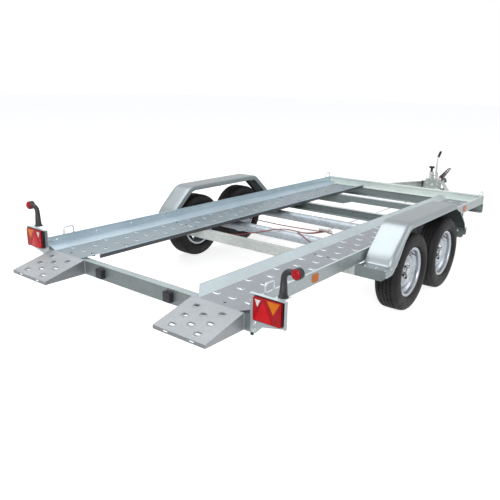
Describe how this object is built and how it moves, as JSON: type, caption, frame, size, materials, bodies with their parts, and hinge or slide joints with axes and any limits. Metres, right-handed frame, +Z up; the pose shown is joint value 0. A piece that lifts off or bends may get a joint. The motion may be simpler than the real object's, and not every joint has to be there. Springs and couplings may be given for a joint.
{
  "type": "car trailer",
  "caption": "Tandem-axle car transporter trailer with folded runways, open galvanised frame, tail ramps, V drawbar, overrun coupling and jockey wheel.",
  "frame": {"origin": "on the ground, in the middle of the overall length and width", "axes": "+Y forward to the coupling, +X to the right, +Z up"},
  "size_m": [2.63, 6.335, 0.8866],
  "materials": {
    "galvanised_beams": "hot-dip galvanised",
    "galvanised_deck": "hot-dip galvanised, worn by tyres",
    "axle_steel": "hot-dip galvanised, bright",
    "mudguard_steel": "galvanised sheet",
    "tyre_rubber": "matt black",
    "rim_paint": "silver paint",
    "hub_steel": "dark, with zinc-plated bolts",
    "black_plastic": "black",
    "red_lens": "clear red",
    "amber_lens": "clear amber",
    "clear_lens": "clear",
    "black_rubber": "black",
    "zinc_fittings": "zinc plated",
    "red_cable": "red sheath",
    "black_iron": "black paint"
  },
  "bodies": {
    "chassis": {"rear_beam": "galvanised_beams", "front_beam": "galvanised_beams", "lower_front_beam": "galvanised_beams", "rear_crossmember": "galvanised_beams", "middle_crossmember": "galvanised_beams", "front_crossmember": "galvanised_beams", "left_side_rail": "galvanised_deck", "right_side_rail": "galvanised_deck", "left_runway": "galvanised_deck", "right_runway": "galvanised_deck", "left_tail_ramp": "galvanised_deck", "right_tail_ramp": "galvanised_deck", "left_drawbar_arm": "galvanised_beams", "right_drawbar_arm": "galvanised_beams", "rear_axle": "axle_steel", "front_axle": "axle_steel", "left_mudguard": "mudguard_steel", "right_mudguard": "mudguard_steel", "mudguard_stays": "mudguard_steel", "left_lamp_bracket": "mudguard_steel", "right_lamp_bracket": "mudguard_steel", "lamp_housings": "black_plastic", "red_lenses": "red_lens", "amber_lenses": "amber_lens", "clear_lenses": "clear_lens", "marker_arms": "black_rubber", "rubber_buffers": "black_rubber", "lashing_loops": "zinc_fittings", "side_reflectors": "amber_lens", "brake_rod": "zinc_fittings", "brake_cables": "red_cable", "overrun_housing": "zinc_fittings", "drawbar_bellows": "black_rubber", "jockey_clamp": "zinc_fittings", "jockey_outer_tube": "zinc_fittings"},
    "handbrake": {"handbrake_lever": "zinc_fittings", "handbrake_grip": "black_plastic"},
    "coupling": {"coupling_head": "black_iron"},
    "coupling_lever": {"coupling_handle": "black_iron"},
    "jockey_leg": {"jockey_inner_tube": "zinc_fittings"},
    "jockey_roller": {"jockey_wheel": "black_rubber"},
    "jockey_handle": {"jockey_crank": "black_plastic"},
    "rear_left_wheel": {"rear_left_tyre": "tyre_rubber", "rear_left_rim": "rim_paint", "rear_left_hub": "hub_steel"},
    "rear_right_wheel": {"rear_right_tyre": "tyre_rubber", "rear_right_rim": "rim_paint", "rear_right_hub": "hub_steel"},
    "front_left_wheel": {"front_left_tyre": "tyre_rubber", "front_left_rim": "rim_paint", "front_left_hub": "hub_steel"},
    "front_right_wheel": {"front_right_tyre": "tyre_rubber", "front_right_rim": "rim_paint", "front_right_hub": "hub_steel"}
  },
  "joints": [
    {"name": "rear_left_wheel_spin", "type": "hinge", "parent": "chassis", "child": "rear_left_wheel", "pos_m": [-1.1455, -1.0595, 0.315], "axis": [1, 0, 0], "continuous": true},
    {"name": "rear_right_wheel_spin", "type": "hinge", "parent": "chassis", "child": "rear_right_wheel", "pos_m": [1.1455, -1.0595, 0.315], "axis": [1, 0, 0], "continuous": true},
    {"name": "front_left_wheel_spin", "type": "hinge", "parent": "chassis", "child": "front_left_wheel", "pos_m": [-1.1455, -0.3535, 0.315], "axis": [1, 0, 0], "continuous": true},
    {"name": "front_right_wheel_spin", "type": "hinge", "parent": "chassis", "child": "front_right_wheel", "pos_m": [1.1455, -0.3535, 0.315], "axis": [1, 0, 0], "continuous": true},
    {"name": "handbrake_pull", "type": "hinge", "parent": "chassis", "child": "handbrake", "pos_m": [0.017, 2.5875, 0.541], "axis": [1, 0, 0], "range_deg": [-60, 0]},
    {"name": "overrun_slide", "type": "slide", "parent": "chassis", "child": "coupling", "axis": [0, 1, 0], "range_m": [-0.06, 0], "deforming": ["drawbar_bellows"]},
    {"name": "coupling_release", "type": "hinge", "parent": "coupling", "child": "coupling_lever", "pos_m": [0, 2.8415, 0.493], "axis": [1, 0, 0], "range_deg": [0, 40]},
    {"name": "jockey_lift", "type": "slide", "parent": "chassis", "child": "jockey_leg", "axis": [0, 0, 1], "range_m": [0, 0.09]},
    {"name": "jockey_wheel_spin", "type": "hinge", "parent": "jockey_leg", "child": "jockey_roller", "pos_m": [-0.108, 2.7335, 0.1], "axis": [1, 0, 0], "continuous": true},
    {"name": "jockey_crank_turn", "type": "hinge", "parent": "chassis", "child": "jockey_handle", "pos_m": [-0.108, 2.7335, 0.572], "axis": [0, 0, 1], "continuous": true}
  ]
}
